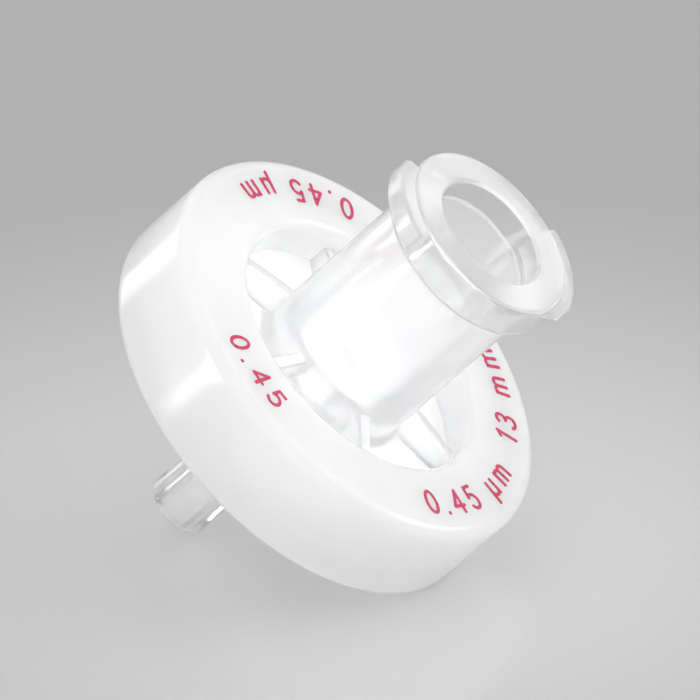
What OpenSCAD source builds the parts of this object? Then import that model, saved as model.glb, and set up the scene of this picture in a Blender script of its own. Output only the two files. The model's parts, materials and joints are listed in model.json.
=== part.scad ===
// Disposable syringe filter, 13 mm membrane, lying at rest on its rim and its outlet tip.
// Each piece is drawn on the filter's own axis: the outlet tip is at z = 0 and the inlet hub
// points up. at_rest() then leans the whole filter over until rim and tip touch the ground.

/* [Membrane] */
// Diameter of the membrane disc
membrane_d = 13; // [11:0.1:26]
// Thickness of the membrane
membrane_t = 0.15; // [0.1:0.01:0.3]
// Width of the membrane's edge that is clamped and doesn't filter
clamp_w = 0.85; // [0.5:0.05:1.5]

/* [Sealing ring] */
// Thickness of the ring's outer wall, outside the outlet half's lip
ring_wall_t = 1.03; // [0.8:0.01:2]
// Rounding of the ring's two outer edges
ring_edge_r = 0.5; // [0.2:0.05:0.8]
// Diameter of the recess round the hub
inlet_recess_d = 10.2; // [8.6:0.1:10.8]
// Depth of the recess round the hub
inlet_recess_depth = 1.6; // [1:0.05:3]
// Rounding of the edge of the recess round the hub
inlet_recess_edge_r = 0.3; // [0.1:0.05:0.5]
// Diameter of the recess round the outlet
outlet_recess_d = 10.4; // [6:0.1:11]
// Depth of the recess round the outlet
outlet_recess_depth = 0.9; // [0.4:0.05:2]
// Rounding of the edge of the recess round the outlet, no more than the recess is deep
outlet_recess_edge_r = 0.8; // [0.1:0.05:0.8]

/* [Inlet bore] */
// Diameter of the tapered bore at its mouth
luer_mouth_d = 4.3; // [3.6:0.02:5.2]
// Taper of the bore: loss of diameter for each millimetre of depth
luer_taper = 0.06; // [0.04:0.01:0.08]
// Depth of the tapered bore
luer_depth = 7.6; // [5:0.1:12]
// Width of the chamfer at the bore's mouth
mouth_chamfer = 0.12; // [0.05:0.01:0.3]
// Thickness of the floor between the bore and the inlet plate
bore_floor_t = 1; // [0.4:0.05:3]
// Diameter of the hole in the bore's floor
inlet_hole_d = 1.2; // [0.6:0.1:2]

/* [Inlet hub] */
// Thickness of the hub's wall at the bore's mouth
hub_wall_t = 0.85; // [0.6:0.05:1.1]
// Fillet where the hub meets its plate
hub_fillet_r = 0.5; // [0.1:0.05:0.8]
// Step from the hub out to the collar at its end
collar_step = 0.4; // [0.2:0.05:0.6]
// Height of the collar
collar_h = 1.45; // [1.3:0.05:2.5]
// Rounding of the hub's end and of the lugs' crests
hub_edge_r = 0.15; // [0.05:0.01:0.25]
// How far each locking lug stands out from the collar
lug_out = 0.525; // [0.3:0.005:0.8]
// Angle that each lug spans
lug_angle = 56; // [40:1:80]
// Height of a lug at its crest
lug_crest_h = 0.85; // [0.5:0.05:0.95]
// How much higher a lug is where it meets the collar
lug_slope_h = 0.3; // [0.1:0.05:0.35]
// Distance of the lugs from the hub's end
lug_setback = 0.1; // [0:0.01:0.12]
// Number of ribs round the hub
rib_count = 6; // [3:1:8]
// Thickness of each rib
rib_t = 0.5; // [0.3:0.05:0.8]
// Drop of the ribs below the ring's face, at the recess wall
rib_drop = 0.75; // [0.4:0.05:0.9]
// Rise of each rib from the recess wall to the hub
rib_rise = 0.35; // [0:0.05:1]

/* [Inlet plate] */
// Thickness of the inlet plate
inlet_plate_t = 0.5; // [0.4:0.05:1]
// Height of the chamber over the membrane
chamber_h = 0.2; // [0.15:0.01:0.4]
// Number of spreader ribs under the inlet plate
spreader_count = 12; // [4:1:16]
// Width of each spreader rib
spreader_w = 0.3; // [0.2:0.05:0.4]

/* [Outlet plate] */
// Thickness of the outlet plate
outlet_plate_t = 0.6; // [0.45:0.05:1.2]
// Thickness of the lip round the membrane
lip_t = 0.5; // [0.3:0.05:1]
// Drop of the lip's top below the top of the inlet plate
lip_drop = 0.25; // [0.1:0.05:0.4]
// Number of radial drain channels
drain_count = 8; // [4:1:12]
// Number of ring-shaped drain channels
drain_ring_count = 3; // [1:1:4]
// Width of each drain channel
drain_w = 0.4; // [0.2:0.05:0.5]
// Depth of each drain channel
drain_depth = 0.25; // [0.1:0.05:0.35]

/* [Outlet tube] */
// Length of the outlet tube below the ring
outlet_len = 6.15; // [5:0.05:12]
// Outer diameter of the tube's straight stretch
outlet_d = 2.42; // [2:0.02:3]
// Length of the tube's straight stretch
outlet_straight = 3.8; // [2:0.1:4.8]
// Step from the straight stretch out to the tube's root
outlet_root_step = 0.12; // [0.02:0.01:0.4]
// Fillet where the tube meets its plate
outlet_fillet_r = 0.4; // [0.1:0.05:0.6]
// Rounding of the tube's tip
tip_edge_r = 0.1; // [0.05:0.01:0.15]
// Bore of the outlet tube
outlet_bore_d = 1.1; // [0.8:0.02:1.4]

/* [Fits and pose] */
// Radial play of the membrane and of the inlet plate inside the lip
nest_play = 0.02; // [0.01:0.01:0.05]
// Turn of the filter about its own axis as it lies
roll = 35; // [-80:1:80]

/* [Hidden] */
$fn = 128;
past = 1; // how far a cut runs past the face that it leaves by

// Radii, from the bore out to the hub, and from the membrane out to the ring
mouth_r = luer_mouth_d / 2;
bore_floor_r = mouth_r - luer_taper * luer_depth / 2;
inlet_hole_r = inlet_hole_d / 2;
hub_r = mouth_r + hub_wall_t;
collar_r = hub_r + collar_step;
lugs_r = collar_r + lug_out;
membrane_r = membrane_d / 2;
filtering_r = membrane_r - clamp_w;
lip_inner_r = membrane_r + nest_play;
lip_r = lip_inner_r + lip_t;
ring_r = lip_r + ring_wall_t;
inlet_recess_r = inlet_recess_d / 2;
outlet_recess_r = outlet_recess_d / 2;
outlet_edge_r = min(outlet_recess_edge_r, outlet_recess_depth);
outlet_r = outlet_d / 2;
outlet_root_r = outlet_r + outlet_root_step;
outlet_bore_r = outlet_bore_d / 2;

// Heights on the filter's own axis, from the outlet tip up
ring_bottom = outlet_len;
outlet_plate_bottom = ring_bottom + outlet_recess_depth;
membrane_seat = outlet_plate_bottom + outlet_plate_t;
membrane_top = membrane_seat + membrane_t;
chamber_top = membrane_top + chamber_h;
inlet_plate_top = chamber_top + inlet_plate_t;
lip_top = inlet_plate_top - lip_drop;
ring_top = inlet_plate_top + inlet_recess_depth;
bore_floor = inlet_plate_top + bore_floor_t;
hub_end = bore_floor + luer_depth;
lug_top = hub_end - lug_setback;

// The lean at which the ring's lower edge and the tip's edge touch the ground together.
// Both edges are round, so each is taken as the centre of its rounding and its radius.
rim_r = ring_r - ring_edge_r;
rim_z = ring_bottom + ring_edge_r;
tip_r = outlet_r - tip_edge_r;
tip_z = tip_edge_r;
lean = atan2(rim_z - tip_z, rim_r - tip_r)
     + asin((tip_edge_r - ring_edge_r) / norm([rim_r - tip_r, rim_z - tip_z]));
lift = rim_r * sin(lean) - rim_z * cos(lean) + ring_edge_r;

// The footprint's two ends along X once the filter leans, so that it can be centred
lug_reach = lugs_r * cos(max(0, abs(roll) - lug_angle / 2));
front_x = max(
    collar_r * cos(lean) + hub_end * sin(lean),
    lug_reach * cos(lean) + lug_top * sin(lean),
    rim_r * cos(lean) + (ring_top - ring_edge_r) * sin(lean) + ring_edge_r);
back_x = min(
    -rim_r * cos(lean) + rim_z * sin(lean) - ring_edge_r,
    -tip_r * cos(lean) + tip_z * sin(lean) - tip_edge_r);
middle_x = (front_x + back_x) / 2;

// Leans the filter from its own axis into the pose in which it rests.
module at_rest() {
    translate([-middle_x, 0, lift]) rotate([0, lean, 0]) rotate([0, 0, roll]) children();
}

// Cutter for a convex corner at [x, z]. The solid lies towards [side_x, side_z] of the corner.
module round_off(x, z, r, side_x, side_z) {
    translate([x, z]) mirror([side_x < 0 ? 1 : 0, 0]) mirror([0, side_z < 0 ? 1 : 0])
        difference() {
            translate([-past, -past]) square([past + r, past + r]);
            translate([r, r]) circle(r);
        }
}

// Fillet that fills the inner corner at [x, z], towards +X and towards +Z or -Z.
module cove(x, z, r, side_z) {
    translate([x, z]) mirror([0, side_z < 0 ? 1 : 0])
        difference() {
            translate([-r, -r]) square([2 * r, 2 * r]);
            translate([r, r]) circle(r);
        }
}

// Section of the ring: a thick band with its groove over both flanges.
module ring_section() {
    difference() {
        translate([0, ring_bottom]) square([ring_r, ring_top - ring_bottom]);
        polygon([
            [-past, ring_bottom - past],
            [outlet_recess_r, ring_bottom - past],
            [outlet_recess_r, outlet_plate_bottom],
            [lip_r, outlet_plate_bottom],
            [lip_r, lip_top],
            [lip_inner_r, lip_top],
            [lip_inner_r, inlet_plate_top],
            [inlet_recess_r, inlet_plate_top],
            [inlet_recess_r, ring_top + past],
            [-past, ring_top + past]
        ]);
        round_off(ring_r, ring_top, ring_edge_r, -1, -1);
        round_off(ring_r, ring_bottom, ring_edge_r, -1, 1);
        round_off(inlet_recess_r, ring_top, inlet_recess_edge_r, 1, -1);
        round_off(outlet_recess_r, ring_bottom, outlet_edge_r, 1, 1);
    }
}

// Section of the inlet half, before its bore is cut.
module inlet_section() {
    difference() {
        union() {
            translate([0, chamber_top]) square([lip_inner_r - nest_play, inlet_plate_t]);
            translate([filtering_r, membrane_top])
                square([lip_inner_r - nest_play - filtering_r, chamber_h + inlet_plate_t / 2]);
            translate([0, chamber_top]) square([hub_r, hub_end - chamber_top]);
            translate([0, hub_end - collar_h]) square([collar_r, collar_h]);
            intersection() {
                cove(hub_r, inlet_plate_top, hub_fillet_r, 1);
                translate([0, chamber_top]) square([hub_r + hub_fillet_r, bore_floor_t + luer_depth]);
            }
        }
        round_off(collar_r, hub_end, hub_edge_r, -1, -1);
    }
}

// One locking lug, centred on +X: a crest with a sloping underside that runs into the collar.
module lug() {
    root_r = (mouth_r + hub_r) / 2;
    inner_r = (hub_r + collar_r) / 2;
    inner_z = lug_top - lug_crest_h - lug_slope_h / lug_out * (lugs_r - inner_r);
    rotate([0, 0, -lug_angle / 2]) rotate_extrude(angle = lug_angle)
        difference() {
            polygon([
                [root_r, lug_top],
                [lugs_r, lug_top],
                [lugs_r, lug_top - lug_crest_h],
                [inner_r, inner_z],
                [root_r, inner_z]
            ]);
            round_off(lugs_r, lug_top, hub_edge_r, -1, -1);
        }
}

// Ribs between the hub and the recess wall, set midway between the lugs.
module hub_ribs() {
    root_r = (mouth_r + hub_r) / 2;
    root_z = chamber_top + inlet_plate_t / 2;
    wall_z = ring_top - rib_drop;
    intersection() {
        translate([0, 0, chamber_top]) cylinder(r = inlet_recess_r, h = hub_end - chamber_top);
        for (i = [0 : rib_count - 1])
            rotate([90, 0, (i + 0.5) * 360 / rib_count])
                linear_extrude(rib_t, center = true)
                    polygon([
                        [root_r, root_z],
                        [inlet_recess_r + past, root_z],
                        [inlet_recess_r + past, wall_z],
                        [inlet_recess_r, wall_z],
                        [hub_r, wall_z + rib_rise],
                        [root_r, wall_z + rib_rise]
                    ]);
    }
}

// Low ribs under the inlet plate that spread the liquid and hold the membrane down.
// They start where there is room for all of them side by side, and end in the clamping rim.
module spreader_ribs() {
    start_r = inlet_hole_r + spreader_w * spreader_count / PI;
    rib_h = chamber_h - nest_play;
    for (i = [0 : spreader_count - 1])
        rotate([0, 0, i * 360 / spreader_count])
            translate([start_r, -spreader_w / 2, chamber_top - rib_h])
                cube([filtering_r - start_r + spreader_w, spreader_w, rib_h + inlet_plate_t / 2]);
}

// The tapered bore with its chamfered mouth, and the hole in its floor.
module luer_bore() {
    rotate_extrude()
        polygon([
            [0, bore_floor],
            [bore_floor_r, bore_floor],
            [mouth_r - luer_taper * mouth_chamfer / 2, hub_end - mouth_chamfer],
            [mouth_r + mouth_chamfer, hub_end],
            [mouth_r + mouth_chamfer, hub_end + past],
            [0, hub_end + past]
        ]);
    translate([0, 0, chamber_top - past])
        cylinder(r = inlet_hole_r, h = bore_floor - chamber_top + 2 * past);
}

module inlet_half() {
    color([0.9, 0.92, 0.93]) at_rest() difference() {
        union() {
            rotate_extrude() inlet_section();
            for (turn = [0, 180]) rotate([0, 0, turn]) lug();
            hub_ribs();
            spreader_ribs();
        }
        luer_bore();
    }
}

// Section of the outlet half: plate, lip and tube, before its bore and channels are cut.
module outlet_section() {
    difference() {
        union() {
            translate([0, outlet_plate_bottom]) square([lip_r, outlet_plate_t]);
            translate([lip_inner_r, membrane_seat - outlet_plate_t / 2])
                square([lip_t, lip_top - membrane_seat + outlet_plate_t / 2]);
            polygon([
                [0, 0],
                [outlet_r, 0],
                [outlet_r, outlet_straight],
                [outlet_root_r, outlet_plate_bottom - outlet_fillet_r],
                [outlet_root_r, membrane_seat - outlet_plate_t / 2],
                [0, membrane_seat - outlet_plate_t / 2]
            ]);
            intersection() {
                cove(outlet_root_r, outlet_plate_bottom, outlet_fillet_r, -1);
                translate([0, outlet_plate_bottom - outlet_fillet_r]) square([lip_r, outlet_fillet_r]);
            }
        }
        round_off(outlet_r, 0, tip_edge_r, -1, 1);
    }
}

// Channels in the membrane's seat that lead what has passed through to the outlet bore.
module drain_channels() {
    ring_pitch = filtering_r / (drain_ring_count + 1);
    translate([0, 0, membrane_seat - drain_depth]) {
        for (i = [0 : drain_count - 1])
            rotate([0, 0, i * 360 / drain_count])
                translate([0, -drain_w / 2, 0]) cube([filtering_r, drain_w, drain_depth + past]);
        for (i = [1 : drain_ring_count])
            difference() {
                cylinder(r = i * ring_pitch + drain_w / 2, h = drain_depth + past);
                translate([0, 0, -past])
                    cylinder(r = i * ring_pitch - drain_w / 2, h = drain_depth + 3 * past);
            }
    }
}

module outlet_half() {
    color([0.86, 0.88, 0.9]) at_rest() difference() {
        rotate_extrude() outlet_section();
        translate([0, 0, -past]) cylinder(r = outlet_bore_r, h = membrane_seat + 2 * past);
        drain_channels();
    }
}

module membrane() {
    color([1, 1, 1]) at_rest()
        translate([0, 0, membrane_seat]) cylinder(r = membrane_r, h = membrane_t);
}

module sealing_ring() {
    color([0.95, 0.96, 0.96]) at_rest() rotate_extrude() ring_section();
}

inlet_half();
outlet_half();
membrane();
sealing_ring();
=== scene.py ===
"""Looks of a small syringe filter that lies on its rim and its outlet tip.

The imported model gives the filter's place and lean. Every moulded piece is a turned surface: an outline
carried round the filter's own axis, with lugs, ribs and channels as steps between its columns.
All sizes are in millimetres on that axis, from the outlet tip (z = 0) up to the inlet hub's end.
"""
import json
import math

import bmesh
import bpy
import numpy as np
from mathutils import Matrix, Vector

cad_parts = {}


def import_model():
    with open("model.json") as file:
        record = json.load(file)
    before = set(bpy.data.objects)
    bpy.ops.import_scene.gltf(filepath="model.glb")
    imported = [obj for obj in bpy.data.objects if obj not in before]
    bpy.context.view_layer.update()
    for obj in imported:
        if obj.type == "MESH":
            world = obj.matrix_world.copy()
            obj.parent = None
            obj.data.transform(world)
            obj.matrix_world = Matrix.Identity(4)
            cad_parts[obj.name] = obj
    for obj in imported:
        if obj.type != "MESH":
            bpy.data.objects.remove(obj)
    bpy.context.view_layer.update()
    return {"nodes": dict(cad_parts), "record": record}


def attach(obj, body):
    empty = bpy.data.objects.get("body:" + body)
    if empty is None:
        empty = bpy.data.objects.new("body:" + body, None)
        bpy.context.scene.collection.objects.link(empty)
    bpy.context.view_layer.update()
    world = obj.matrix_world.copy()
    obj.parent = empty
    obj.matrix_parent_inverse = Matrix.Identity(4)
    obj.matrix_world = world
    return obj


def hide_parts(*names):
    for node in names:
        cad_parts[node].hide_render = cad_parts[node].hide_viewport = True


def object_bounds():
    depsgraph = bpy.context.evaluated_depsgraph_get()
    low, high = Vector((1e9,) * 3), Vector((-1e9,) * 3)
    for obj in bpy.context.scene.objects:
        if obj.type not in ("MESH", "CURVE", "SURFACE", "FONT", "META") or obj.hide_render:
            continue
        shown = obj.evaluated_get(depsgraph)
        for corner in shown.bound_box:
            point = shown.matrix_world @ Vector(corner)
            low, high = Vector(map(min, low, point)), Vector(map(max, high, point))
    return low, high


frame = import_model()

MM = 0.001

# ---------------------------------------------------------------- sizes, as in the CAD source
MOUTH_R, LUER_DEPTH, LUER_TAPER, CHAMFER = 2.15, 7.6, 0.06, 0.12
FLOOR_T, HOLE_R = 1.0, 0.6
HUB_R, COLLAR_R, LUGS_R = 3.0, 3.4, 3.925
COLLAR_H, HUB_EDGE, HUB_FILLET = 1.45, 0.15, 0.5
LUG_HALF, LUG_CREST, LUG_SLOPE, LUG_SETBACK = 28.0, 0.85, 0.3, 0.1
RIBS, RIB_T, RIB_DROP, RIB_RISE = 6, 0.5, 0.75, 0.35
INLET_T, CHAMBER_H, SPREADERS, SPREADER_W = 0.5, 0.2, 12, 0.3
MEMBRANE_R, MEMBRANE_T, CLAMP_W = 6.5, 0.15, 0.85
OUTLET_T, LIP_T, LIP_DROP = 0.6, 0.5, 0.25
DRAINS, DRAIN_RINGS, DRAIN_W, DRAIN_DEPTH = 8, 3, 0.4, 0.25
RING_R, RING_EDGE = 8.05, 0.5
INLET_RECESS_R, INLET_RECESS_DEPTH, INLET_RECESS_EDGE = 5.1, 1.6, 0.3
OUTLET_RECESS_R, OUTLET_RECESS_DEPTH, OUTLET_RECESS_EDGE = 5.2, 0.9, 0.8
TUBE_LEN, TUBE_R, TUBE_STRAIGHT, TUBE_ROOT_R = 6.15, 1.21, 3.8, 1.33
TUBE_FILLET, TIP_EDGE, TUBE_BORE_R = 0.4, 0.1, 0.55
PLAY = 0.02
ROLL = 35.0          # turn of the lugs and ribs about the axis, in degrees

# radii and heights that follow from them
FILTERING_R = MEMBRANE_R - CLAMP_W
LIP_INNER_R = MEMBRANE_R + PLAY
LIP_R = LIP_INNER_R + LIP_T
RING_BOTTOM = TUBE_LEN
OUTLET_PLATE = RING_BOTTOM + OUTLET_RECESS_DEPTH
SEAT = OUTLET_PLATE + OUTLET_T
MEMBRANE_TOP = SEAT + MEMBRANE_T
CHAMBER_TOP = MEMBRANE_TOP + CHAMBER_H
INLET_PLATE = CHAMBER_TOP + INLET_T
LIP_TOP = INLET_PLATE - LIP_DROP
RING_TOP = INLET_PLATE + INLET_RECESS_DEPTH
BORE_FLOOR = INLET_PLATE + FLOOR_T
HUB_END = BORE_FLOOR + LUER_DEPTH
BORE_FLOOR_R = MOUTH_R - LUER_TAPER * LUER_DEPTH / 2

# ---------------------------------------------------------------- sizes that only the looks have
# roundings
LUG_TOP_EDGE, LUG_LOW_EDGE, LUG_SIDE_EDGE = 0.15, 0.12, 0.09
MOUTH_EDGE, COLLAR_EDGE, COLLAR_ROOT = 0.04, 0.05, 0.06
HOLE_LOW_EDGE, HOLE_TOP_EDGE, BORE_FLOOR_EDGE = 0.04, 0.05, 0.12
TUBE_BORE_EDGE, LIP_EDGE, SEAT_EDGE = 0.05, 0.04, 0.02
HIDDEN_EDGE = 0.03   # of the other edges inside the housing
# a rib's bevel, the corner at its end on the ring, and the length over which its bevel fades there
RIB_EDGE, RIB_CORNER, RIB_FADE = 0.06, 0.02, 0.2
# the rest
BORE_POLISHED = 4.5  # how far down from the hub's end the bore is polished and carries the mouth resin's painted shade
COLLAR_POLISHED = COLLAR_H - 0.1
BORE_START = 0.5     # height in the outlet's bore where its ring of segments starts and ends
DRAIN_MOUTH = 0.05   # how much wider the outlet's bore is at the membrane
STEP_LEAN = 0.01     # how far the foot of a channel's or spreader's end lies from its crest
STEP_EDGE = 0.02     # how far the foot of its side does
SKIN_GAP = 0.01      # air between pieces that touch, so that no two surfaces coincide
HALF_GAP = SKIN_GAP / 2

COLUMNS = 240        # columns of points round the axis
NOMINAL_R = 4.0      # radius at which a feature's width says how many columns it takes
STRAIGHT = 0.01      # a corner whose half turn is less than this, in radians, isn't rounded
MERGED = 1e-8        # points closer than this, in metres, are one point
SHARP = 35           # edges that turn by more degrees than this aren't shaded as round

# ---------------------------------------------------------------- the filter's own axis, from the record
mounts = {m["name"]: m for m in frame["record"]["mounts"]}
axis_up = Vector(mounts["luer_inlet"]["axis"]).normalized()
tip = Vector(mounts["luer_inlet"]["pos_m"]) - axis_up * HUB_END * MM
axis_side = Vector((0, 1, 0))
axis_low = axis_side.cross(axis_up)     # square to the axis, towards the ground
TO_FRAME = np.array([axis_low, axis_side, axis_up])


def placed(points, turn=ROLL):
    """Points on the filter's axis in mm, turned about it by `turn` degrees, to metres in the frame."""
    c, s = math.cos(math.radians(turn)), math.sin(math.radians(turn))
    x, y, z = points[..., 0], points[..., 1], points[..., 2]
    own = np.stack([c * x - s * y, s * x + c * y, z], -1)
    return own * MM @ TO_FRAME + np.array(tip)


# ---------------------------------------------------------------- outlines
def outline(corners, pitch=0.6, steps=6):
    """Open outline through corners (r, z, rounding). A rounded corner becomes an arc that touches both
    sides, with `steps` chords to a quarter turn, and a straight side is cut every `pitch` mm."""
    pts = [np.array(corners[0][:2], float)]
    for before, (r, z, rounding), after in zip(corners, corners[1:-1], corners[2:]):
        here = np.array([r, z])
        a = np.array(before[:2]) - here
        b = np.array(after[:2]) - here
        a, b = a / np.linalg.norm(a), b / np.linalg.norm(b)
        half = math.acos(np.clip(a @ b, -1, 1)) / 2
        if rounding == 0 or half > math.pi / 2 - STRAIGHT:
            pts.append(here)
            continue
        centre = here + (a + b) / np.linalg.norm(a + b) * rounding / math.sin(half)
        u = -(centre - here) / np.linalg.norm(centre - here)
        v = np.array([-u[1], u[0]])
        if v @ b < 0:
            v = -v
        sweep = math.pi / 2 - half
        count = max(2, math.ceil(steps * 2 * sweep / (math.pi / 2)))
        for t in np.linspace(-sweep, sweep, count + 1):
            pts.append(centre + rounding * (math.cos(t) * u + math.sin(t) * v))
    pts.append(np.array(corners[-1][:2], float))
    pts = np.array(pts)
    cuts = np.maximum(1, np.ceil(np.linalg.norm(np.diff(pts, axis=0), axis=1) / pitch)).astype(int)
    runs = [a + (b - a) * np.arange(n)[:, None] / n for a, b, n in zip(pts, pts[1:], cuts)]
    return np.vstack(runs + [pts[-1:]])


def evened(path, count):
    """The same outline with `count` points at equal distances along it."""
    along = np.r_[0, np.cumsum(np.linalg.norm(np.diff(path, axis=0), axis=1))]
    at = np.linspace(0, along[-1], count)
    return np.stack([np.interp(at, along, path[:, 0]), np.interp(at, along, path[:, 1])], 1)


# ---------------------------------------------------------------- turned surfaces
def fanned(knots, paths):
    """Column angles beside raised features. Knot (column, centre, offset, level) stands `offset` mm beside
    the radial line at `centre` degrees, so its angle is centre + asin(offset / radius of its level).
    Columns between two knots share the gap evenly, and a column before 0 or past the last is its match one
    turn on or back, so that the angles of all columns in their order rise from about 0 to 360 degrees."""
    knots = sorted(knots)
    first = knots[0][0]
    at = np.array([k[0] for k in knots] + [first + COLUMNS])
    angles = np.array([
        math.radians(centre) + np.arcsin(np.clip(offset / paths[level][:, 0], -1, 1))
        for _, centre, offset, level in knots])
    angles = np.vstack([angles, angles[:1] + 2 * math.pi])
    column = first + np.arange(COLUMNS)
    i = np.searchsorted(at, column, side="right") - 1
    t = ((column - at[i]) / (at[i + 1] - at[i]))[:, None]
    found = (1 - t) * angles[i] + t * angles[i + 1] - 2 * math.pi * (column // COLUMNS)[:, None]
    return found[np.argsort(column % COLUMNS)]


def stepped(repeats, first, half, edge, angular=False):
    """Knots and column levels for `repeats` equal features round the axis. Each has a foot column, a
    shoulder column at the same place and a crest column `edge` mm further in, on both of its sides, so it
    takes at least three columns a side. `half` is half its width in mm, or in degrees where its ends are
    radial."""
    knots, levels = [], np.zeros(COLUMNS, int)
    pitch = 360 / COLUMNS
    for i in range(repeats):
        centre = first + i * 360 / repeats
        reach = half if angular else math.degrees(math.asin(half / NOMINAL_R))
        spread = max(3, round(reach / pitch))
        middle = round(centre / pitch)
        for side in (-1, 1):
            at = centre + side * half if angular else centre
            off = 0 if angular else side * half
            knots += [(middle + side * spread, at, off, 0),
                      (middle + side * (spread - 1), at, off, 1),
                      (middle + side * (spread - 2), at, off - side * edge, 2)]
        inside = np.arange(middle - spread + 2, middle + spread - 1)
        levels[inside % COLUMNS] = 2
        levels[[(middle - spread + 1) % COLUMNS, (middle + spread - 1) % COLUMNS]] = 1
    return knots, levels


def turned(segments):
    """Closed surface of revolution. A plain segment is an outline; a featured one is (paths, knots, levels),
    whose column j follows paths[levels[j]]. Between featured segments the column angles blend evenly."""
    radius, height, angle, known = [], [], [], []
    for s in segments:
        plain = isinstance(s, np.ndarray)
        paths = [s] if plain else s[0]
        level = np.zeros(COLUMNS, int) if plain else s[2]
        stack = np.stack(paths)[level]
        radius.append(stack[..., 0])
        height.append(stack[..., 1])
        known.append(np.full(stack.shape[1], not plain))
        angle.append(np.zeros(stack.shape[:2]) if plain else fanned(s[1], paths))
    radius, height, angle = np.hstack(radius), np.hstack(height), np.hstack(angle)
    known = np.concatenate(known)
    if not known.any():
        angle[:] = np.linspace(0, 2 * math.pi, COLUMNS, endpoint=False)[:, None]
    else:
        k = np.arange(known.size)
        have = k[known]
        after = np.searchsorted(have, k)
        lo, hi = have[(after - 1) % have.size], have[after % have.size]
        gap_lo, gap_hi = (k - lo) % known.size, (hi - k) % known.size
        t = np.where(known, 0, gap_lo / np.maximum(gap_lo + gap_hi, 1))
        lo = np.where(known, k, lo)
        angle = (1 - t) * angle[:, lo] + t * angle[:, hi]
    return np.stack([radius * np.cos(angle), radius * np.sin(angle), height], -1)


def piece(name, segments, material, node):
    """Closed mesh of a surface of revolution, whose grid of points wraps both ways."""
    grid = turned(joined(segments))
    m, n = grid.shape[:2]
    i, j = np.meshgrid(np.arange(m), np.arange(n), indexing="ij")
    a, b = i * n + j, (i + 1) % m * n + j
    c, d = (i + 1) % m * n + (j + 1) % n, i * n + (j + 1) % n
    faces = np.stack([a, b, c, d], -1).reshape(-1, 4)
    return made(name, placed(grid).reshape(-1, 3), faces, material, node)


def made(name, pts, faces, material, node=None):
    """Mesh object from points and four-sided faces, that rides on the one body. The faces are turned round
    where the volume inside them comes out negative, so that they point outwards. Points at one place are
    merged, which closes faces without width, and edges over SHARP degrees are sharp."""
    p = pts[faces]
    fans = np.cross(p[:, 1], p[:, 2]) + np.cross(p[:, 2], p[:, 3])
    if np.einsum("ij,ij->i", p[:, 0], fans).sum() < 0:
        faces = faces[:, ::-1]
    mesh = bpy.data.meshes.new(name)
    mesh.from_pydata(pts.tolist(), [], faces.tolist())
    merging = bmesh.new()
    merging.from_mesh(mesh)
    bmesh.ops.remove_doubles(merging, verts=merging.verts, dist=MERGED)
    merging.to_mesh(mesh)
    merging.free()
    mesh.materials.append(material)
    obj = bpy.data.objects.new(name, mesh)
    bpy.context.scene.collection.objects.link(obj)
    mesh.shade_smooth()
    mesh.set_sharp_from_angle(angle=math.radians(SHARP))
    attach(obj, "root")
    if node:
        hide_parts(node)
    return obj


def joined(parts):
    """Segments end to end in a ring. Where two meet, a plain one gives up the point that they share, so that
    a featured one keeps both its ends, where its three outlines meet."""
    out = []
    for before, s in zip([parts[-1]] + parts[:-1], parts):
        if isinstance(s, np.ndarray):
            s = s[:-1] if isinstance(before, np.ndarray) else s[1:-1]
        out.append(s)
    return out


# ---------------------------------------------------------------- node groups
GRAIN_SHARE = 0.08   # height of the grain, as a share of the ripples'


def group(name, inputs, outputs):
    """Empty shader node group with named sockets: (name, type, default)."""
    g = bpy.data.node_groups.new(name, "ShaderNodeTree")
    for label, kind, default in inputs:
        s = g.interface.new_socket(label, in_out="INPUT", socket_type="NodeSocket" + kind)
        if default is not None:
            s.default_value = default
    for label, kind in outputs:
        g.interface.new_socket(label, in_out="OUTPUT", socket_type="NodeSocket" + kind)
    return g, g.nodes.new("NodeGroupInput"), g.nodes.new("NodeGroupOutput")


def cloud_group():
    """Cloudiness of moulded polypropylene: soft 3-D noise between two colours."""
    g, gi, go = group("Resin Cloud", [("Vector", "Vector", None), ("Scale", "Float", 300.0),
                                      ("Thin", "Color", (0.8, 0.8, 0.8, 1)),
                                      ("Dense", "Color", (0.9, 0.9, 0.9, 1))],
                      [("Color", "Color")])
    noise = g.nodes.new("ShaderNodeTexNoise")
    noise.inputs["Detail"].default_value = 3
    ramp = g.nodes.new("ShaderNodeMapRange")
    ramp.inputs["From Min"].default_value = 0.3
    ramp.inputs["From Max"].default_value = 0.7
    mix = g.nodes.new("ShaderNodeMix")
    mix.data_type = "RGBA"
    link = g.links.new
    link(gi.outputs["Vector"], noise.inputs["Vector"])
    link(gi.outputs["Scale"], noise.inputs["Scale"])
    link(noise.outputs["Fac"], ramp.inputs["Value"])
    link(ramp.outputs["Result"], mix.inputs["Factor"])
    link(gi.outputs["Thin"], mix.inputs["A"])
    link(gi.outputs["Dense"], mix.inputs["B"])
    link(mix.outputs["Result"], go.inputs["Color"])
    return g


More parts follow.
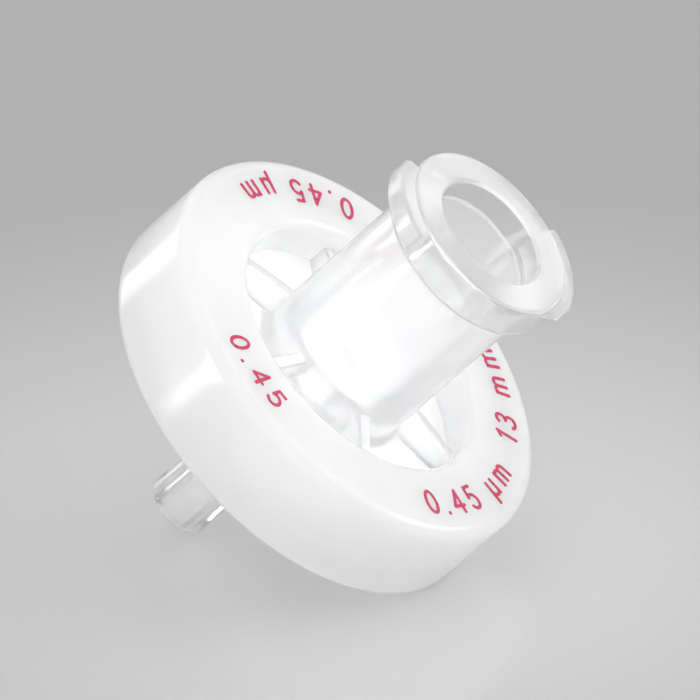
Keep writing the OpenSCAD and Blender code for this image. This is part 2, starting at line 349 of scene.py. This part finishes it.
def skin_group():
    """Skin of a polished mould: long ripples and a fine grain, as roughness and as a normal."""
    g, gi, go = group("Mould Skin", [("Vector", "Vector", None), ("Ripple Scale", "Float", 400.0),
                                     ("Grain Scale", "Float", 6000.0), ("Depth", "Float", 0.00001),
                                     ("Smooth", "Float", 0.05), ("Worn", "Float", 0.15)],
                      [("Roughness", "Float"), ("Normal", "Vector")])
    link = g.links.new
    ripple = g.nodes.new("ShaderNodeTexNoise")
    ripple.inputs["Detail"].default_value = 1
    grain = g.nodes.new("ShaderNodeTexNoise")
    grain.inputs["Detail"].default_value = 2
    both = g.nodes.new("ShaderNodeMath")
    both.operation = "MULTIPLY_ADD"
    both.inputs[1].default_value = GRAIN_SHARE
    bump = g.nodes.new("ShaderNodeBump")
    bump.inputs["Strength"].default_value = 1
    rough = g.nodes.new("ShaderNodeMapRange")
    rough.inputs["From Min"].default_value = 0.35
    rough.inputs["From Max"].default_value = 0.65
    for n, scale in ((ripple, "Ripple Scale"), (grain, "Grain Scale")):
        link(gi.outputs["Vector"], n.inputs["Vector"])
        link(gi.outputs[scale], n.inputs["Scale"])
    link(grain.outputs["Fac"], both.inputs[0])
    link(ripple.outputs["Fac"], both.inputs[2])
    link(both.outputs[0], bump.inputs["Height"])
    link(gi.outputs["Depth"], bump.inputs["Distance"])
    link(ripple.outputs["Fac"], rough.inputs["Value"])
    link(gi.outputs["Smooth"], rough.inputs["To Min"])
    link(gi.outputs["Worn"], rough.inputs["To Max"])
    link(rough.outputs["Result"], go.inputs["Roughness"])
    link(bump.outputs["Normal"], go.inputs["Normal"])
    return g


CLOUD, SKIN = cloud_group(), skin_group()
HAZE = 4.0           # how far light spreads inside the plastic, in mm
LAMP_SHARE = 0.95    # the part of a lamp's light that the plastic lets through


def principled(m):
    """The Principled shader of a material."""
    return next(n for n in m.node_tree.nodes if n.type == "BSDF_PRINCIPLED")


def material(name):
    """New material, its tree, its Principled shader and its Object coordinates."""
    m = bpy.data.materials.new(name)
    m.use_nodes = True
    coords = m.node_tree.nodes.new("ShaderNodeTexCoord")
    return m, m.node_tree, principled(m), coords.outputs["Object"]


def placed_group(tree, g, vector, **values):
    """A group node reading `vector`, with values by input name."""
    n = tree.nodes.new("ShaderNodeGroup")
    n.node_tree = g
    tree.links.new(vector, n.inputs["Vector"])
    for k, v in values.items():
        n.inputs[k.replace("_", " ")].default_value = v
    return n


def lets_light_through(tree, shader):
    """Lamps shine through the piece by LAMP_SHARE, so that what is inside and under it is lit."""
    out = next(n for n in tree.nodes if n.type == "OUTPUT_MATERIAL")
    path = tree.nodes.new("ShaderNodeLightPath")
    amount = tree.nodes.new("ShaderNodeMath")
    amount.operation = "MULTIPLY"
    amount.inputs[1].default_value = LAMP_SHARE
    clear = tree.nodes.new("ShaderNodeBsdfTransparent")
    mix = tree.nodes.new("ShaderNodeMixShader")
    tree.links.new(path.outputs["Is Shadow Ray"], amount.inputs[0])
    tree.links.new(amount.outputs[0], mix.inputs["Fac"])
    tree.links.new(shader.outputs[0], mix.inputs[1])
    tree.links.new(clear.outputs[0], mix.inputs[2])
    tree.links.new(mix.outputs[0], out.inputs["Surface"])


def surface(name, thin, dense, smooth, worn, depth, cloud=260.0, ripple=320.0, grain=5200.0):
    """Material with a colour that is cloudy between `thin` and `dense`, under a moulded skin `depth` mm deep,
    whose roughness lies between `smooth` and `worn`. The rest are the scales of its patterns."""
    m, tree, shader, vector = material(name)
    colour = placed_group(tree, CLOUD, vector, Scale=cloud, Thin=(*thin, 1), Dense=(*dense, 1))
    skin = placed_group(tree, SKIN, vector, Ripple_Scale=ripple, Grain_Scale=grain, Depth=depth * MM,
                        Smooth=smooth, Worn=worn)
    tree.links.new(colour.outputs["Color"], shader.inputs["Base Color"])
    tree.links.new(skin.outputs["Roughness"], shader.inputs["Roughness"])
    tree.links.new(skin.outputs["Normal"], shader.inputs["Normal"])
    return m


def resin(name, thin, dense, smooth, worn, clear, depth=0.004):
    """Moulded polypropylene. `clear` is the share of light that goes straight through its skin, and the rest
    spreads inside as far as HAZE."""
    m = surface(name, thin, dense, smooth, worn, depth)
    shader = principled(m)
    shader.inputs["IOR"].default_value = 1.49
    shader.inputs["Transmission Weight"].default_value = clear
    shader.inputs["Subsurface Weight"].default_value = 1.0
    shader.inputs["Subsurface Radius"].default_value = (1.0, 1.0, 1.0)
    shader.inputs["Subsurface Scale"].default_value = HAZE * MM
    lets_light_through(m.node_tree, shader)
    return m


ring_resin = resin("Milky Ring Resin", (0.77, 0.775, 0.78), (0.82, 0.82, 0.825),
                   smooth=0.12, worn=0.19, clear=0.22)
inlet_resin = resin("Clear Inlet Resin", (0.975, 0.98, 0.985), (0.995, 0.995, 0.995),
                    smooth=0.10, worn=0.16, clear=0.66)
# the mouth resin's colour is a little greyer than the inlet resin's: painted shade in the bore and on the
# collar's wall
mouth_resin_painted_shade = resin("Clear Mouth Resin With Painted Shade", (0.91, 0.915, 0.92), (0.95, 0.95, 0.95),
                    smooth=0.03, worn=0.06, clear=0.93, depth=0.002)
outlet_resin = resin("Clear Outlet Resin", (0.95, 0.955, 0.96), (0.99, 0.99, 0.99),
                     smooth=0.04, worn=0.08, clear=0.84, depth=0.001)
felt = surface("Membrane Felt", (0.95, 0.95, 0.945), (0.98, 0.98, 0.975),
               smooth=0.6, worn=0.8, depth=0.02, cloud=900.0, ripple=1500.0, grain=12000.0)
ink = surface("Red Print Ink", (0.60, 0.035, 0.12), (0.50, 0.022, 0.085),
              smooth=0.25, worn=0.4, depth=0.003, cloud=2500.0, ripple=1800.0, grain=9000.0)


# ---------------------------------------------------------------- pieces
def sealing_ring():
    """The milky ring: one closed outline, with its groove over both plates."""
    g, middle = SKIN_GAP, (RING_BOTTOM + RING_TOP) / 2
    skin = outline([
        (RING_R, middle, 0), (RING_R, RING_TOP, RING_EDGE), (INLET_RECESS_R, RING_TOP, INLET_RECESS_EDGE),
        (INLET_RECESS_R, INLET_PLATE + g, HIDDEN_EDGE), (LIP_INNER_R + g, INLET_PLATE + g, HIDDEN_EDGE),
        (LIP_INNER_R + g, LIP_TOP + g, 0), (LIP_R + g, LIP_TOP + g, HIDDEN_EDGE),
        (LIP_R + g, OUTLET_PLATE - g, HIDDEN_EDGE), (OUTLET_RECESS_R, OUTLET_PLATE - g, HIDDEN_EDGE),
        (OUTLET_RECESS_R, RING_BOTTOM, OUTLET_RECESS_EDGE), (RING_R, RING_BOTTOM, RING_EDGE),
        (RING_R, middle, 0)], steps=10)
    piece("sealing_ring_skin", [skin], ring_resin, "sealing_ring")


def lug_segment():
    """The collar's wall, with two locking lugs that slope back to it below their crest."""
    top, low = HUB_END - LUG_SETBACK, HUB_END - LUG_SETBACK - LUG_CREST
    foot = low - LUG_SLOPE
    start = COLLAR_R - HUB_EDGE + math.sqrt(HUB_EDGE ** 2 - (HUB_EDGE - LUG_SETBACK) ** 2)
    crest = outline([
        (start, top, 0), (LUGS_R, top, LUG_TOP_EDGE), (LUGS_R, low, LUG_LOW_EDGE), (COLLAR_R, foot, 0)],
        pitch=0.3)
    out = np.clip((crest[:, :1] - start) / (LUGS_R - start), 0, 1)     # share of the way out to the crest
    shoulder = crest - np.array([LUG_SIDE_EDGE, 0]) * out
    wall = outline([(start, top, 0), (COLLAR_R, HUB_END - HUB_EDGE, 0), (COLLAR_R, foot, 0)], pitch=0.1)
    wall = evened(wall, len(crest))
    knots, levels = stepped(2, 0, LUG_HALF, LUG_SIDE_EDGE, angular=True)
    return [wall, shoulder, crest], knots, levels


def rib_segment():
    """The recess from hub to ring, with ribs that climb towards the hub. A rib's shoulder runs out to nothing
    over the RIB_FADE under its top at the ring."""
    wall_z = RING_TOP - RIB_DROP
    hub_z = wall_z + RIB_RISE
    end = INLET_RECESS_R - SKIN_GAP
    crest = outline([
        (HUB_R, hub_z, 0), (end - RIB_CORNER, wall_z, 0), (end, wall_z - RIB_CORNER, 0),
        (end, INLET_PLATE, 0)], pitch=0.06)
    drop = RIB_EDGE * np.clip((crest[:, 1] - wall_z) / RIB_FADE + 1, 0, 1)
    drop[0] = 0      # the three outlines start at one point
    shoulder = crest - np.stack([0 * drop, drop], 1)
    bottom = outline([(HUB_R, hub_z, 0), (HUB_R, INLET_PLATE, HUB_FILLET), (end, INLET_PLATE, 0)], pitch=0.06)
    bottom = evened(bottom, len(crest))
    knots, levels = stepped(RIBS, 180 / RIBS, RIB_T / 2, RIB_EDGE)
    return [bottom, shoulder, crest], knots, levels


def spreader_segment():
    """The chamber's ceiling with its low ribs."""
    start = HOLE_R + SPREADER_W * SPREADERS / math.pi
    ceiling = evened(np.array([(FILTERING_R, CHAMBER_TOP), (start, CHAMBER_TOP)]), count=12)
    low = ceiling.copy()
    low[1:-1, 1] -= CHAMBER_H - PLAY
    low[1, 0], low[-2, 0] = FILTERING_R - STEP_LEAN, start + STEP_LEAN
    knots, levels = stepped(SPREADERS, 0, SPREADER_W / 2, STEP_EDGE)
    return [ceiling, low, low], knots, levels


def inlet_half():
    """Hub with its tapered bore, collar, lugs and ribs, and the inlet plate, as one surface."""
    lug, rib, spreader = lug_segment(), rib_segment(), spreader_segment()
    foot = tuple(lug[0][0][-1])
    mouth = outline([
        (BORE_FLOOR_R, BORE_FLOOR, 0), (MOUTH_R, HUB_END - CHAMFER, MOUTH_EDGE),
        (MOUTH_R + CHAMFER, HUB_END, MOUTH_EDGE), (COLLAR_R - HUB_EDGE, HUB_END, 0)], pitch=0.5)
    t = np.linspace(0, math.acos(1 - LUG_SETBACK / HUB_EDGE), 5)
    rounding = np.stack([COLLAR_R - HUB_EDGE * (1 - np.sin(t)), HUB_END - HUB_EDGE * (1 - np.cos(t))], 1)
    hub = outline([
        (*foot, 0), (COLLAR_R, HUB_END - COLLAR_H, COLLAR_EDGE), (HUB_R, HUB_END - COLLAR_H, COLLAR_ROOT),
        (HUB_R, rib[0][0][0, 1], 0)], pitch=0.4)
    plate = outline([
        (rib[0][0][-1, 0], INLET_PLATE, 0), (LIP_INNER_R - PLAY, INLET_PLATE, HIDDEN_EDGE),
        (LIP_INNER_R - PLAY, MEMBRANE_TOP + HALF_GAP, HIDDEN_EDGE),
        (FILTERING_R, MEMBRANE_TOP + HALF_GAP, HIDDEN_EDGE), (FILTERING_R, CHAMBER_TOP, 0)], pitch=0.5)
    hole = outline([
        (spreader[0][0][-1, 0], CHAMBER_TOP, 0), (HOLE_R, CHAMBER_TOP, HOLE_LOW_EDGE),
        (HOLE_R, BORE_FLOOR, HOLE_TOP_EDGE), (BORE_FLOOR_R, BORE_FLOOR, BORE_FLOOR_EDGE),
        (BORE_FLOOR_R + LUER_TAPER / 2, BORE_FLOOR + 1, 0)], pitch=0.3)
    mouth[0] = hole[-1]      # the ring of segments closes at one point, 1 mm up the bore
    skin = piece("inlet_half_skin", [mouth, rounding, lug, hub, rib, plate, spreader, hole], inlet_resin,
                 "inlet_half")
    polish(skin)


def polish(hub):
    """The bore, down to BORE_POLISHED under the hub's end, and the collar's wall between the lugs come from
    mirror-polished parts of the mould, so their faces take the clearest resin, whose greyer colour is painted
    shade there. The end face doesn't."""
    mesh = hub.data
    mesh.materials.append(mouth_resin_painted_shade)
    middle = np.empty(len(mesh.polygons) * 3)
    mesh.polygons.foreach_get("center", middle)
    own = (middle.reshape(-1, 3) - np.array(tip)) @ TO_FRAME.T / MM
    depth = HUB_END - own[:, 2]
    off_axis = np.hypot(own[:, 0], own[:, 1])
    reach = np.where(off_axis < MOUTH_R, BORE_POLISHED, COLLAR_POLISHED)
    # faces that take the clearest resin and its painted shade
    clear_and_painted_shade = (off_axis < COLLAR_R + SKIN_GAP) & (depth > LUG_SETBACK) & (depth < reach)
    mesh.polygons.foreach_set("material_index", clear_and_painted_shade.astype(np.int32))


def drain_segment():
    """The membrane's seat with ring-shaped and radial drain channels."""
    seat_z, bottom = SEAT - HALF_GAP, SEAT - DRAIN_DEPTH
    pitch = FILTERING_R / (DRAIN_RINGS + 1)
    pts = [(FILTERING_R, seat_z), (FILTERING_R - STEP_LEAN, seat_z)]
    for i in range(DRAIN_RINGS, 0, -1):
        outer, inner = i * pitch + DRAIN_W / 2, i * pitch - DRAIN_W / 2
        pts += [(outer, seat_z), (outer - STEP_LEAN, bottom), (inner + STEP_LEAN, bottom), (inner, seat_z)]
    pts += [(TUBE_BORE_R + DRAIN_MOUTH, seat_z), (TUBE_BORE_R, bottom)]
    seat = outline([(*p, 0) for p in pts], pitch=0.4)
    low = seat.copy()
    low[1:, 1] = bottom
    knots, levels = stepped(DRAINS, 0, DRAIN_W / 2, STEP_EDGE)
    return [seat, low, low], knots, levels


def outlet_half():
    """Outlet tube, plate and lip as one surface, with the bore and the drain channels."""
    body = outline([
        (TUBE_BORE_R, BORE_START, 0), (TUBE_BORE_R, 0, TUBE_BORE_EDGE), (TUBE_R, 0, TIP_EDGE),
        (TUBE_R, TUBE_STRAIGHT, 0), (TUBE_ROOT_R, OUTLET_PLATE - TUBE_FILLET, 0),
        (TUBE_ROOT_R, OUTLET_PLATE, TUBE_FILLET - SKIN_GAP), (LIP_R, OUTLET_PLATE, LIP_EDGE),
        (LIP_R, LIP_TOP, LIP_EDGE), (LIP_INNER_R, LIP_TOP, LIP_EDGE),
        (LIP_INNER_R, SEAT - HALF_GAP, SEAT_EDGE), (FILTERING_R, SEAT - HALF_GAP, 0)], pitch=0.5)
    bore = outline([(TUBE_BORE_R, SEAT - DRAIN_DEPTH, 0), (TUBE_BORE_R, BORE_START, 0)], pitch=0.5)
    piece("outlet_half_skin", [body, drain_segment(), bore], outlet_resin,
          "outlet_half")


sealing_ring()
inlet_half()
outlet_half()
membrane = frame["nodes"]["membrane"].data       # the plain disc keeps its CAD shape
membrane.materials.clear()
membrane.materials.append(felt)


# ---------------------------------------------------------------- print
INK_IN, INK_OUT = 6.13, 7.15             # radii between which a numeral stands
STROKE, INK_T = 0.14, 0.012              # width and thickness of an ink line
INK_SUNK = 0.004                         # depth to which an ink line sits in the ring's face
INK_STEP = 0.0006                        # lines that cross lie this much above one another
GLYPH_H = INK_OUT - INK_IN - STROKE      # height of a numeral's centre line
GLYPH_GAP = 0.44                         # between characters, as a share of that height
CAP_ROWS, CAP_TURN = 6, 88               # a stroke's rounded end, just short of a quarter turn


def bow(cx, cy, rx, ry, start, end, n=16):
    """Elliptic arc of a glyph, centre, half axes and angles in degrees, in units of the numeral's height."""
    t = np.radians(np.linspace(start, end, n))
    return np.stack([cx + rx * np.cos(t), cy + ry * np.sin(t)], 1)


def line(*ends):
    """Straight stroke between two points, cut fine enough to bend round the ring."""
    a, b = np.array(ends, float)
    return a + (b - a) * np.linspace(0, 1, 8)[:, None]


def leg(arc, foot):
    """An arc that runs on into a straight leg."""
    return np.vstack([arc[:-1], line(arc[-1], foot)])


GLYPHS = {      # width and strokes of each character
    "0": (0.62, [bow(0.31, 0.5, 0.27, 0.5, -90, 90, 20), bow(0.31, 0.5, 0.27, 0.5, 90, 270, 20)]),
    "1": (0.36, [line((0.04, 0.8), (0.26, 1)), line((0.26, 1), (0.26, 0))]),
    "3": (0.58, [bow(0.27, 0.76, 0.23, 0.24, 150, -90), bow(0.27, 0.26, 0.27, 0.26, 90, -150)]),
    "4": (0.64, [line((0.46, 0), (0.46, 1)), line((0.46, 1), (0.03, 0.3)),
                 line((0.03, 0.3), (0.62, 0.3))]),
    "5": (0.60, [line((0.52, 1), (0.13, 1)), line((0.13, 1), (0.08, 0.53)),
                 bow(0.27, 0.32, 0.28, 0.32, 135, -145)]),
    ".": (0.14, [line((0.07, 0.0), (0.07, 0.02))]),
    "u": (0.58, [line((0.09, 0.66), (0.02, -0.3)), bow(0.29, 0.22, 0.22, 0.22, 185, 355),
                 line((0.51, 0.66), (0.51, 0))]),
    "m": (0.90, [line((0.06, 0), (0.06, 0.66)), leg(bow(0.25, 0.46, 0.19, 0.2, 180, 0), (0.44, 0)),
                 leg(bow(0.63, 0.46, 0.19, 0.2, 180, 0), (0.82, 0))]),
    " ": (0.22, []),
}


def ribbon(path):
    """Rows across a stroke from its rounded start to its rounded end: left edge and right edge, half a
    stroke to each side of the centre line, and less than that at an end by the cosine of a quarter turn."""
    step = np.gradient(path, axis=0)
    step /= np.maximum(np.linalg.norm(step, axis=1, keepdims=True), 1e-9)
    side = np.stack([-step[:, 1], step[:, 0]], 1)
    w = STROKE / 2 / GLYPH_H
    t = np.radians(np.linspace(-CAP_TURN, 0, CAP_ROWS))
    into = path[0] + w * np.sin(t)[:, None] * step[0]
    away = path[-1] - w * np.sin(t[::-1])[:, None] * step[-1]
    mid = np.vstack([into, path[1:-1], away])
    half = w * np.concatenate([np.cos(t), np.ones(len(path) - 2), np.cos(t[::-1])])[:, None]
    across = np.vstack([np.repeat(side[:1], CAP_ROWS, 0), side[1:-1], np.repeat(side[-1:], CAP_ROWS, 0)])
    return mid + half * across, mid - half * across


def print_text(name, text, centre):
    """Characters round the ring's top face, read from outside the ring, centred on an angle in degrees.
    Glyph x runs round the ring and y inwards, and each stroke is a closed film as thick as the ink."""
    width = sum(GLYPHS[c][0] + GLYPH_GAP for c in text) - GLYPH_GAP
    foot_r, mean_r = INK_OUT - STROKE / 2, (INK_IN + INK_OUT) / 2
    pts, faces, total, x = [], [], 0, 0.0
    for c in text:
        advance, strokes = GLYPHS[c]
        for k, path in enumerate(strokes):
            left, right = ribbon(path)
            n = len(left)
            flat = np.vstack([left, right])
            r = foot_r - flat[:, 1] * GLYPH_H
            a = math.radians(centre) + (x + flat[:, 0] - width / 2) * GLYPH_H / mean_r
            for z in (RING_TOP - INK_SUNK - k * INK_STEP, RING_TOP + INK_T - k * INK_STEP):
                pts.append(np.stack([r * np.cos(a), r * np.sin(a), np.full(2 * n, z)], 1))
            i = np.arange(n - 1)
            top, low = total + 2 * n, total
            faces += [np.stack([top + i, top + i + 1, top + n + i + 1, top + n + i], 1),
                      np.stack([low + i, low + n + i, low + n + i + 1, low + i + 1], 1),
                      np.stack([low + i, low + i + 1, top + i + 1, top + i], 1),
                      np.stack([low + n + i, top + n + i, top + n + i + 1, low + n + i + 1], 1),
                      np.array([[low, top, top + n, low + n],
                                [low + n - 1, low + 2 * n - 1, top + 2 * n - 1, top + n - 1]])]
            total += 4 * n
        x += advance + GLYPH_GAP
    made(name, placed(np.vstack(pts), 0), np.vstack(faces), ink)


print_text("print_near", "0.45 um  13 mm", 10.5)
print_text("print_far", "0.45 um", 143.5)
print_text("print_short", "0.45", 250)


# ---------------------------------------------------------------- floor, light and camera
BACKGROUND = 0.40
FLOOR_PAINTED_POOL = 0.69         # the floor's tone where the filter lies, a painted pool of light
PAINTED_POOL_FADE = 0.035        # distance in metres at which the painted pool of light has turned to the background's tone
FLOOR_WIDTH = 6.0         # in metres


def floor():
    """Wide plain floor, a little glossy, with a painted pool of light: its tone goes by the distance from the
    filter's middle, lighter near it.
    """
    m, tree, shader, vector = material("Pale Floor")
    span = tree.nodes.new("ShaderNodeVectorMath")
    span.operation = "LENGTH"
    fade = tree.nodes.new("ShaderNodeMapRange")
    fade.interpolation_type = "SMOOTHSTEP"
    fade.inputs["From Max"].default_value = PAINTED_POOL_FADE
    # painted pool of light: the floor is lighter near the filter and fades to the background's tone
    tone = tree.nodes.new("ShaderNodeMix")
    tone.data_type = "RGBA"
    tone.inputs["A"].default_value = (FLOOR_PAINTED_POOL,) * 3 + (1,)
    tone.inputs["B"].default_value = (BACKGROUND,) * 3 + (1,)
    tree.links.new(vector, span.inputs[0])
    tree.links.new(span.outputs["Value"], fade.inputs["Value"])
    tree.links.new(fade.outputs["Result"], tone.inputs["Factor"])
    tree.links.new(tone.outputs["Result"], shader.inputs["Base Color"])
    skin = placed_group(tree, SKIN, vector, Ripple_Scale=60.0, Smooth=0.12, Worn=0.18)
    tree.links.new(skin.outputs["Roughness"], shader.inputs["Roughness"])
    shader.inputs["IOR"].default_value = 1.6
    mesh = bpy.data.meshes.new("floor")
    reach = FLOOR_WIDTH / 2
    mesh.from_pydata([(x * reach, y * reach, 0) for x, y in ((-1, -1), (1, -1), (1, 1), (-1, 1))], [],
                     [(0, 1, 2, 3)])
    mesh.materials.append(m)
    obj = bpy.data.objects.new("floor", mesh)
    bpy.context.scene.collection.objects.link(obj)
    return obj


def all_but(obj):
    """Light group that leaves out one object, for lamps that would glare on it."""
    left_out = bpy.data.collections.new("all_but_" + obj.name)
    left_out.objects.link(obj)
    left_out.collection_objects[0].light_linking.link_state = "EXCLUDE"
    return left_out


def aimed(name, data, azimuth, elevation, distance):
    """Lamp or camera that looks at the filter's middle from an azimuth and elevation in degrees, where
    azimuth 0 is in front and 90 on the +X side."""
    a, e = math.radians(azimuth), math.radians(elevation)
    back = Vector((math.sin(a) * math.cos(e), -math.cos(a) * math.cos(e), math.sin(e)))
    obj = bpy.data.objects.new(name, data)
    obj.location = CENTRE + back * distance
    obj.rotation_euler = back.to_track_quat("Z", "Y").to_euler()
    bpy.context.scene.collection.objects.link(obj)
    return obj


def lamp(name, azimuth, elevation, distance, size, power, lights=None):
    """Oblong soft lamp. `lights` is the light group that it shines on, if not on everything."""
    data = bpy.data.lights.new(name, "AREA")
    data.shape = "RECTANGLE"
    data.size, data.size_y = size
    data.energy = power
    obj = aimed(name, data, azimuth, elevation, distance)
    if lights:
        obj.light_linking.receiver_collection = lights


def world(light):
    """Even surroundings: `light` for what they shed, and the background's tone where they are seen, straight
    on, mirrored or through clear plastic, before the light has met anything dull."""
    w = bpy.data.worlds.new("Studio")
    bpy.context.scene.world = w
    w.use_nodes = True
    tree = w.node_tree
    path = tree.nodes.new("ShaderNodeLightPath")
    seen = path.outputs["Is Camera Ray"]
    for ray in ("Is Glossy Ray", "Is Transmission Ray"):
        both = tree.nodes.new("ShaderNodeMath")
        both.operation = "MAXIMUM"
        tree.links.new(seen, both.inputs[0])
        tree.links.new(path.outputs[ray], both.inputs[1])
        seen = both.outputs[0]
    direct = tree.nodes.new("ShaderNodeMath")
    direct.operation = "LESS_THAN"
    direct.inputs[1].default_value = 0.5
    shown = tree.nodes.new("ShaderNodeMath")
    shown.operation = "MULTIPLY"
    mix = tree.nodes.new("ShaderNodeMix")
    mix.data_type = "RGBA"
    mix.inputs["A"].default_value = (light, light, light, 1)
    mix.inputs["B"].default_value = (BACKGROUND, BACKGROUND, BACKGROUND, 1)
    tree.links.new(path.outputs["Diffuse Depth"], direct.inputs[0])
    tree.links.new(seen, shown.inputs[0])
    tree.links.new(direct.outputs[0], shown.inputs[1])
    tree.links.new(shown.outputs[0], mix.inputs["Factor"])
    tree.links.new(mix.outputs["Result"], tree.nodes["Background"].inputs["Color"])


low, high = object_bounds()
CENTRE = (Vector(low) + Vector(high)) / 2
VIEW_AZIMUTH, VIEW_ELEVATION, VIEW_DISTANCE = 19.5, 25.5, 0.48
VIEW_WIDTH = 0.0245      # width in metres that the camera takes in at the filter

no_floor = all_but(floor())
world(light=1.0)
# azimuth, elevation, distance and size in metres, and power in watts
lamp("key", 118, 38, 0.45, (0.30, 0.30), 0.22)
lamp("back_window", 154, 22, 0.45, (0.30, 0.20), 0.05)
lamp("left_back_window", -118, 9, 0.40, (0.10, 0.12), 0.08, no_floor)
lamp("left_front_window", -50, 8, 0.40, (0.08, 0.10), 0.18, no_floor)
lamp("right_strip", 118, 12, 0.45, (0.25, 0.12), 0.3, no_floor)
lamp("front_fill", 8, 16, 0.7, (1.0, 0.6), 1.1)

cam = bpy.data.cameras.new("camera")
cam.lens = cam.sensor_width * VIEW_DISTANCE / VIEW_WIDTH
cam.clip_start, cam.clip_end = 0.01, 20
bpy.context.scene.camera = aimed("camera", cam, VIEW_AZIMUTH, VIEW_ELEVATION, VIEW_DISTANCE)
bpy.context.scene.view_settings.view_transform = "Standard"
cycles = bpy.context.scene.cycles        # light crosses many walls of clear and milky plastic
cycles.max_bounces, cycles.diffuse_bounces = 64, 32
cycles.glossy_bounces, cycles.transmission_bounces, cycles.transparent_max_bounces = 32, 48, 32
cycles.blur_glossy = 0.0                 # blurred refraction would lose the light inside the hub
